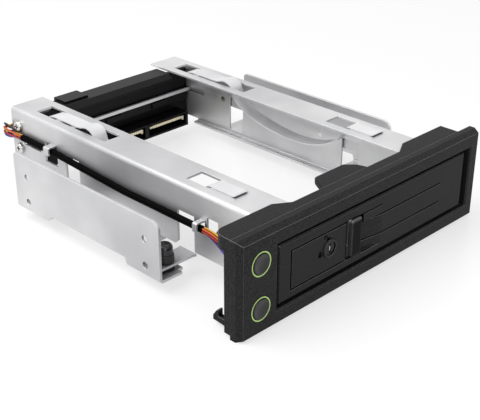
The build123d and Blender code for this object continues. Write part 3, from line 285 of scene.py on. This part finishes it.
# Nickel plated screws: warm, bright and sharp; painted shade in the creases and a painted highlight line on
# the edges
nickelPlate = metalMaterial("nickelPlate", {
    "low": "#c9c8c5", "high": "#dddcd8", "paintedShadeTone": "#3c3b39", "grainMm": 0.4, "cloudMm": 5, "rough": 0.2,
    "bump": 0.05, "stretch": (1.0, 1.0, 1.0), "edgeMm": 0.12, "metallic": 1.0})
# Pale flash plating on the receptacle's blades: a light straw tone, with painted shade in the creases and a
# painted highlight line on the edges
paleGold = metalMaterial("paleFlashPlating", {
    "low": "#e6dcb8", "high": "#f0e8cc", "paintedShadeTone": "#5d553c", "grainMm": 0.3, "cloudMm": 4, "rough": 0.3,
    "bump": 0.03, "stretch": (1.0, 1.0, 1.0), "edgeMm": 0.05, "metallic": 0.5})

# Extruded PVC insulation of the wires: satin, one colour each
wireTones = {"black": "#0c0c0c", "yellow": "#d6a52c", "orange": "#c9541f", "red": "#a32a24",
             "purple": "#553a92", "blue": "#2b2faa"}
wireMaterials = {}
for wireName, tone in wireTones.items():
    wireMaterials[wireName] = plasticMaterial(wireName + "WireInsulation", {
        "low": tone, "high": tone, "grainMm": 0.8, "cloudMm": 12, "rough": 0.35, "bump": 0.05,
        "edgeMm": 0.05, "ior": 1.5})
print("materials made:", len(bpy.data.materials))

finishOf = {
    "bezel_plastic": texturedAbs, "mechanism_plastic": blackNylon, "button_plastic": buttonAbs,
    "light_guide": lightGuide, "circuit_board": solderMask, "contact_plastic": creamNylon,
    "screw_steel": nickelPlate, "spring_steel": springStrip, "zinc_sheet": zincSheet,
    "grommet_rubber": grommetRubber, "housing_plastic": blackNylon, "sleeve_pvc": pvcTube,
    "lock_black": lockLacquer,
}
for wireName, material in wireMaterials.items():
    finishOf["wire_" + wireName] = material

# Pieces whose finish differs from the rest of their slot
ownFinish = {"latch_handle": smoothAbs, "grommet_studs": darkSteel, "eject_crossbar": springStrip}

for part in frame["record"]["subparts"]:
    piece = nodes[part["node"]]
    material = ownFinish.get(part["node"], finishOf[part["material_slot"]])
    piece.data.materials.clear()
    piece.data.materials.append(material)
print("finishes set")


def selectOnly(piece):
    bpy.ops.object.select_all(action="DESELECT")
    piece.select_set(True)
    bpy.context.view_layer.objects.active = piece


def settle(piece, name, material, body):
    piece.name = name
    selectOnly(piece)
    bpy.ops.object.transform_apply(location=True, rotation=True, scale=True)
    piece.data.materials.clear()
    piece.data.materials.append(material)
    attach(piece, body)
    piece.select_set(False)
    return piece


def enterEdit(piece):
    selectOnly(piece)
    bpy.ops.object.mode_set(mode="EDIT")
    bpy.ops.mesh.select_all(action="SELECT")


def leaveEdit():
    bpy.ops.object.mode_set(mode="OBJECT")


def pickFaces(piece, test):
    bpy.ops.mesh.select_all(action="DESELECT")
    bpy.context.tool_settings.mesh_select_mode = (False, False, True)
    bpy.ops.object.mode_set(mode="OBJECT")
    for polygon in piece.data.polygons:
        polygon.select = test(polygon)
    bpy.ops.object.mode_set(mode="EDIT")


def applyModifier(piece, kind, settings):
    bpy.context.view_layer.objects.active = piece
    modifier = piece.modifiers.new(kind.title(), kind)
    for name, value in settings.items():
        setattr(modifier, name, value)
    bpy.ops.object.modifier_apply(modifier=modifier.name)


def copyPiece(piece, shift):
    twin = piece.copy()
    twin.data = piece.data.copy()
    bpy.context.collection.objects.link(twin)
    twin.data.transform(mathutils.Matrix.Translation(shift))
    return twin


def bevelPiece(piece, width):
    applyModifier(piece, "BEVEL", {"width": width, "segments": 2, "limit_method": "ANGLE",
                                   "angle_limit": radians(30)})


def makeBox(middle, size, turn=(0, 0, 0)):
    bpy.ops.mesh.primitive_cube_add(size=1, location=middle, rotation=turn)
    box = bpy.context.object
    box.scale = size
    bpy.ops.object.transform_apply(location=True, rotation=True, scale=True)
    return box


# Pan head screws at the rear with a cross recess
screwShape = {"x": 0.0523, "y": 0.0798, "heights": (0.0203, 0.0313), "headRadius": 0.0025,
              "headThick": 0.0017, "dome": 0.0009, "shaftRadius": 0.00122, "shaftLength": 0.0050,
              "crossLength": 0.0027, "crossWidth": 0.00062, "crossDepth": 0.0009}


def makeScrew(shape):
    height = shape["heights"][0]
    bpy.ops.mesh.primitive_cylinder_add(
        vertices=40, radius=shape["headRadius"], depth=shape["headThick"],
        location=(-shape["x"] - shape["headThick"] / 2, shape["y"], height), rotation=(0, radians(-90), 0))
    head = bpy.context.object
    bpy.ops.object.transform_apply(location=True, rotation=True, scale=True)
    enterEdit(head)
    pickFaces(head, lambda polygon: polygon.normal.x > squareOn)
    bpy.ops.mesh.inset(thickness=shape["headRadius"] - shape["shaftRadius"], depth=0)
    bpy.ops.mesh.extrude_region_move(TRANSFORM_OT_translate={"value": (shape["shaftLength"], 0, 0)})
    pickFaces(head, lambda polygon: polygon.normal.x < -squareOn)
    bpy.ops.mesh.bevel(offset=shape["dome"], segments=5)
    leaveEdit()
    long, narrow = shape["crossLength"], shape["crossWidth"]
    for armY, armZ in ((long, narrow), (narrow, long)):
        bar = makeBox((-shape["x"] - shape["headThick"], shape["y"], height),
                      (2 * shape["crossDepth"], armY, armZ))
        applyModifier(head, "BOOLEAN", {"operation": "DIFFERENCE", "object": bar})
        bpy.data.objects.remove(bar)
    return head


firstScrew = makeScrew(screwShape)
screws = [firstScrew]
screws.append(copyPiece(firstScrew, (0, 0, screwShape["heights"][1] - screwShape["heights"][0])))
for screw in list(screws):
    twin = copyPiece(screw, (0, 0, 0))
    twin.data.transform(mathutils.Matrix.Scale(-1, 4, (1, 0, 0)))
    twin.data.flip_normals()
    screws.append(twin)
for number, screw in enumerate(screws):
    settle(screw, "rearScrewHead" + str(number + 1), nickelPlate, "cage")
    selectOnly(screw)
    bpy.ops.object.shade_smooth_by_angle(angle=smoothAngle)
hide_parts("rear_side_screws")
print("screw heads made")

# Contact blades of the receptacle: 7 for the data lines and 15 for power, at 1.27 mm
bladeShape = {"pitch": 0.00127, "width": 0.00092, "length": 0.0052, "thick": 0.00156, "y": 0.0728,
              "z": 0.0120, "edge": 0.00012, "rows": (("dataBlades", 0.0057, 7), ("powerBlades", 0.0218, 15))}
for rowName, rowStart, count in bladeShape["rows"]:
    blade = makeBox((rowStart, bladeShape["y"], bladeShape["z"]),
                    (bladeShape["width"], bladeShape["length"], bladeShape["thick"]))
    bevelPiece(blade, bladeShape["edge"])
    applyModifier(blade, "ARRAY", {"count": count, "use_relative_offset": False,
                                   "use_constant_offset": True,
                                   "constant_offset_displace": (bladeShape["pitch"], 0, 0)})
    settle(blade, rowName, paleGold, "cage")
print("contact blades made")

# Marks beside the lock: a closed padlock to the left and an open one above
markShape = {"face": -0.0882, "proud": 0.00012, "body": (0.0019, 0.0014), "edge": 0.0001,
             "hoopRadius": 0.00062, "hoopWire": 0.0002, "hoopRise": 0.0004, "hoopCut": 0.0002,
             "hoopLeg": 0.0005, "closed": (-0.0309, 0.0200), "open": (-0.0262, 0.0258),
             "openHoopShift": (-0.00165, 0.0002)}


def makeMarkBody(shape):
    body = makeBox((shape["closed"][0], shape["face"], shape["closed"][1]),
                   (shape["body"][0], 2 * shape["proud"], shape["body"][1]))
    bevelPiece(body, shape["edge"])
    return body


def makeMarkHoop(shape):
    base = shape["closed"][1] + shape["body"][1] / 2
    bpy.ops.mesh.primitive_torus_add(major_radius=shape["hoopRadius"], minor_radius=shape["hoopWire"],
                                     major_segments=28, minor_segments=10,
                                     location=(shape["closed"][0], shape["face"], base + shape["hoopRise"]),
                                     rotation=(radians(90), 0, 0))
    hoop = bpy.context.object
    bpy.ops.object.transform_apply(location=True, rotation=True, scale=True)
    enterEdit(hoop)
    bpy.ops.mesh.bisect(plane_co=(0, 0, base + shape["hoopCut"]), plane_no=(0, 0, 1), clear_inner=True,
                        use_fill=True)
    pickFaces(hoop, lambda polygon: polygon.normal.z < -squareOn)
    bpy.ops.mesh.extrude_region_move(TRANSFORM_OT_translate={"value": (0, 0, -shape["hoopLeg"])})
    leaveEdit()
    return hoop


markBody = makeMarkBody(markShape)
markHoop = makeMarkHoop(markShape)
toOpen = (markShape["open"][0] - markShape["closed"][0], 0, markShape["open"][1] - markShape["closed"][1])
openBody = copyPiece(markBody, toOpen)
openHoop = copyPiece(markHoop, (toOpen[0] + markShape["openHoopShift"][0], 0,
                                toOpen[2] + markShape["openHoopShift"][1]))
for mark, markName in ((markBody, "closedMarkBody"), (markHoop, "closedMarkHoop"),
                       (openBody, "openMarkBody"), (openHoop, "openMarkHoop")):
    settle(mark, markName, markInk, "door")
print("lock marks made")

# Steel ward plate that shows in the keyway
wardShape = {"middle": (-0.0252, -0.0880, 0.0213), "size": (0.0005, 0.0003, 0.0020), "lean": 14,
             "edge": 0.00008}
ward = makeBox(wardShape["middle"], wardShape["size"], (0, radians(wardShape["lean"]), 0))
bevelPiece(ward, wardShape["edge"])
settle(ward, "keywayWard", nickelPlate, "lock")
print("ward plate made")

# Push buttons with a dished face: radius and depth behind the bezel's front in millimetres, from the
# plunger nub at the rear over the flange to the middle of the dish
buttonShape = {"plunger": 1.2, "flange": 5.4, "flangeThick": 0.8, "nubThick": 0.5, "stem": 4.2,
               "dish": ((4.2, -0.30), (4.08, -0.48), (3.85, -0.58), (3.55, -0.52), (3.0, -0.28),
                        (2.2, 0.0), (1.2, 0.2), (0.4, 0.26))}


def makeButton(shape, node):
    low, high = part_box(node)
    middleX, middleZ = (low.x + high.x) / 2, (low.z + high.z) / 2
    flangeRear = (high.y - bezelFrontY) / mm - shape["nubThick"]
    flangeFront = flangeRear - shape["flangeThick"]
    profile = [(shape["plunger"], flangeRear), (shape["flange"], flangeRear),
               (shape["flange"], flangeFront), (shape["stem"], flangeFront), *shape["dish"]]
    bpy.ops.mesh.primitive_circle_add(vertices=48, radius=shape["plunger"] * mm, fill_type="NGON",
                                      location=(middleX, high.y, middleZ), rotation=(radians(90), 0, 0))
    button = bpy.context.object
    bpy.ops.object.transform_apply(location=True, rotation=True, scale=True)
    enterEdit(button)
    lastRadius, lastDepth = shape["plunger"], (high.y - bezelFrontY) / mm
    for radius, depth in profile:
        bpy.ops.mesh.extrude_region_move(TRANSFORM_OT_translate={"value": (0, (depth - lastDepth) * mm, 0)})
        bpy.ops.transform.resize(value=(radius / lastRadius, 1, radius / lastRadius),
                                 center_override=(middleX, bezelFrontY, middleZ))
        lastRadius, lastDepth = radius, depth
    leaveEdit()
    bpy.ops.object.shade_smooth_by_angle(angle=smoothAngle)
    return button


for side in ("upper", "lower"):
    button = makeButton(buttonShape, side + "_button")
    settle(button, side + "ButtonCap", buttonAbs, side + "_button_body")
    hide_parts(side + "_button")
print("buttons made")

# Six wires that fan out of both ends of the sleeve, to the header behind the buttons and round the
# rail's rear end to the socket. Places are X, depth behind the bezel's front and Z in millimetres
wireFan = {"radius": 0.45, "sleeveX": -54.1, "circle": 1.0, "firstAngle": 15,
           "frontDepth": 41.0, "frontLead": 3.0, "frontZ": 24.9, "bendX": -55.3, "bendShare": 0.6,
           "bendDepth": 30.0, "turnX": -58.6, "turnDepth": 21.0, "turnRise": 0.5,
           "nearHeader": (15.5, 26.0), "headerX": -64.4, "headerPitch": 2.0, "headerDepth": 13.0,
           "headerEntry": 14.6, "headerZ": 26.5,
           "rearDepth": 164.0, "rearLead": 4.5, "rearZ": 27.2, "rearBend": (-55.1, 173.4),
           "rearBendShare": 0.5, "rearBendDrop": 0.8, "crossing": 177.4, "outerX": -55.7,
           "outerShare": 0.3, "innerX": -51.5, "bundleLow": 24.2, "bundlePitch": 0.95,
           "socketX": -42.6, "socketLead": 2.5, "socketEntry": 176.8, "socketDepth": 173.8,
           "socketLow": 19.8, "socketPitch": 2.0}
# The height of each wire where its fan is widest, in front and at the rear
fanHeights = {"black": (22.9, 31.6), "yellow": (25.9, 28.5), "orange": (24.9, 29.6),
              "red": (23.9, 27.6), "purple": (21.0, 26.7), "blue": (19.6, 25.8)}
middleRank = (len(fanHeights) - 1) / 2


def makeWire(name, points, material):
    line = bpy.data.curves.new(name, "CURVE")
    line.dimensions = "3D"
    line.bevel_depth = wireFan["radius"] * mm
    line.bevel_resolution = 5
    line.resolution_u = 12
    line.use_fill_caps = True
    spline = line.splines.new("NURBS")
    spline.points.add(len(points) - 1)
    for point, (x, depth, z) in zip(spline.points, points):
        point.co = (x * mm, bezelFrontY + depth * mm, z * mm, 1)
    spline.order_u = 3
    spline.use_endpoint_u = True
    wire = bpy.data.objects.new(name, line)
    bpy.context.collection.objects.link(wire)
    return settle(wire, name, material, "cage")


def wireSeats(fan, names):
    seats = {}
    for number, wireName in enumerate(names):  # six wires round a circle
        angle = radians(fan["firstAngle"]) + number * pi / 3
        seats[wireName] = (fan["circle"] * cos(angle), fan["circle"] * sin(angle))
    return seats


def frontPoints(fan, seat, rank, height):
    seatX, seatZ = seat
    startX = fan["sleeveX"] + seatX
    headerX = fan["headerX"] + fan["headerPitch"] * (rank - middleRank)
    nearDepth, nearZ = fan["nearHeader"]
    return [
        (startX, fan["frontDepth"], fan["frontZ"] + seatZ),
        (startX, fan["frontDepth"] - fan["frontLead"], fan["frontZ"] + seatZ),
        (fan["bendX"] + fan["bendShare"] * seatX, fan["bendDepth"], height),
        (fan["turnX"] + seatX, fan["turnDepth"], height + fan["turnRise"]),
        ((fan["turnX"] + headerX) / 2, nearDepth, nearZ),
        (headerX, fan["headerEntry"], fan["headerZ"]),
        (headerX, fan["headerDepth"], fan["headerZ"]),
    ]


def rearPoints(fan, seat, rank, height):
    seatX, seatZ = seat
    startX = fan["sleeveX"] + seatX
    bendX, bendDepth = fan["rearBend"]
    pinZ = fan["socketLow"] + fan["socketPitch"] * rank
    return [
        (startX, fan["rearDepth"], fan["rearZ"] + seatZ),
        (startX, fan["rearDepth"] + fan["rearLead"], fan["rearZ"] + seatZ),
        (bendX + fan["rearBendShare"] * seatX, bendDepth, height - fan["rearBendDrop"]),
        (fan["outerX"] + fan["outerShare"] * seatX, fan["crossing"], height),
        (fan["innerX"], fan["crossing"], fan["bundleLow"] + fan["bundlePitch"] * rank),
        (fan["socketX"] - fan["socketLead"], fan["crossing"], pinZ),
        (fan["socketX"], fan["socketEntry"], pinZ),
        (fan["socketX"], fan["socketDepth"], pinZ),
    ]


seats = wireSeats(wireFan, fanHeights)
across = sorted(seats, key=lambda wireName: seats[wireName][0])
upward = sorted(seats, key=lambda wireName: seats[wireName][1])
for wireName, seat in seats.items():
    frontHeight, rearHeight = fanHeights[wireName]
    frontRun = frontPoints(wireFan, seat, across.index(wireName), frontHeight)
    rearRun = rearPoints(wireFan, seat, upward.index(wireName), rearHeight)
    material = wireMaterials[wireName]
    frontWire = makeWire(wireName + "WireFront", frontRun, material)
    makeWire(wireName + "WireRear", rearRun, material)
    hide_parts("wire_" + wireName)
print("wires made")

# Studio: white floor and backdrop, one large soft lamp above, a weaker one in front
studio = {"floorHalf": 3.0, "floorShare": 0.62, "worldLevel": 0.55,
          "topLamp": {"place": (-0.5, 0.2, 0.8), "size": 0.8, "watts": 7.2},
          "frontLamp": {"place": (-0.35, -1.1, 0.7), "size": 0.9, "watts": 4.6}}


def whiteFor(tree, share):
    rays = addNode(tree, "ShaderNodeLightPath")
    direct = combine(tree, "MAXIMUM", rays.outputs["Is Camera Ray"], rays.outputs["Is Glossy Ray"])
    direct = combine(tree, "MAXIMUM", direct, rays.outputs["Is Transmission Ray"])
    return combine(tree, "MULTIPLY", direct, share)


world = bpy.data.worlds.new("studioWorld")
bpy.context.scene.world = world
world.use_nodes = True
worldTree = world.node_tree
worldTree.nodes.clear()
seen = addNode(worldTree, "ShaderNodeBackground", {"Color": white, "Strength": 1.0})
lit = addNode(worldTree, "ShaderNodeBackground", {"Color": white, "Strength": studio["worldLevel"]})
blend = addNode(worldTree, "ShaderNodeMixShader")
worldTree.links.new(whiteFor(worldTree, 1.0), blend.inputs[0])
worldTree.links.new(lit.outputs[0], blend.inputs[1])
worldTree.links.new(seen.outputs[0], blend.inputs[2])
addNode(worldTree, "ShaderNodeOutputWorld", {}, {"Surface": blend.outputs[0]})

bpy.ops.mesh.primitive_plane_add(size=2 * studio["floorHalf"], location=(0, 0, 0))
floor = bpy.context.object
floor.name = "studioFloor"
floorPaint, floorTree = newMaterial("whiteAcrylicFloor")
glow = addNode(floorTree, "ShaderNodeEmission", {"Color": white, "Strength": 1.0})
sheetPaint = addNode(floorTree, "ShaderNodeBsdfPrincipled",
                     {"Base Color": toLinear("#f6f6f6"), "Roughness": 0.22, "IOR": 1.45})
floorMix = addNode(floorTree, "ShaderNodeMixShader")
floorTree.links.new(whiteFor(floorTree, studio["floorShare"]), floorMix.inputs[0])
floorTree.links.new(sheetPaint.outputs[0], floorMix.inputs[1])
floorTree.links.new(glow.outputs[0], floorMix.inputs[2])
addNode(floorTree, "ShaderNodeOutputMaterial", {}, {"Surface": floorMix.outputs[0]})
floor.data.materials.append(floorPaint)

for lampName in ("topLamp", "frontLamp"):
    lamp = studio[lampName]
    bpy.ops.object.light_add(type="AREA", location=lamp["place"])
    light = bpy.context.object
    light.name = lampName
    light.data.shape = "DISK"
    light.data.size = lamp["size"]
    light.data.energy = lamp["watts"]
    aim = -light.location
    light.rotation_euler = aim.to_track_quat("-Z", "Y").to_euler()

# Camera: the photograph's own place and angle
cameraPlace = {"place": (-0.3002, -0.3115, 0.21774), "turn": 45.27, "down": 27.03, "roll": 0.16,
               "lens": 77.93, "sensor": 36}
bpy.ops.object.camera_add(location=cameraPlace["place"])
camera = bpy.context.object
camera.rotation_euler = (radians(90 - cameraPlace["down"]), 0, radians(-cameraPlace["turn"]))
camera.rotation_euler.rotate_axis("Z", radians(cameraPlace["roll"]))
camera.data.sensor_width = cameraPlace["sensor"]
camera.data.lens = cameraPlace["lens"]
camera.data.clip_start = 0.01
bpy.context.scene.camera = camera
bpy.context.scene.view_settings.view_transform = "Standard"
print("studio and camera set")
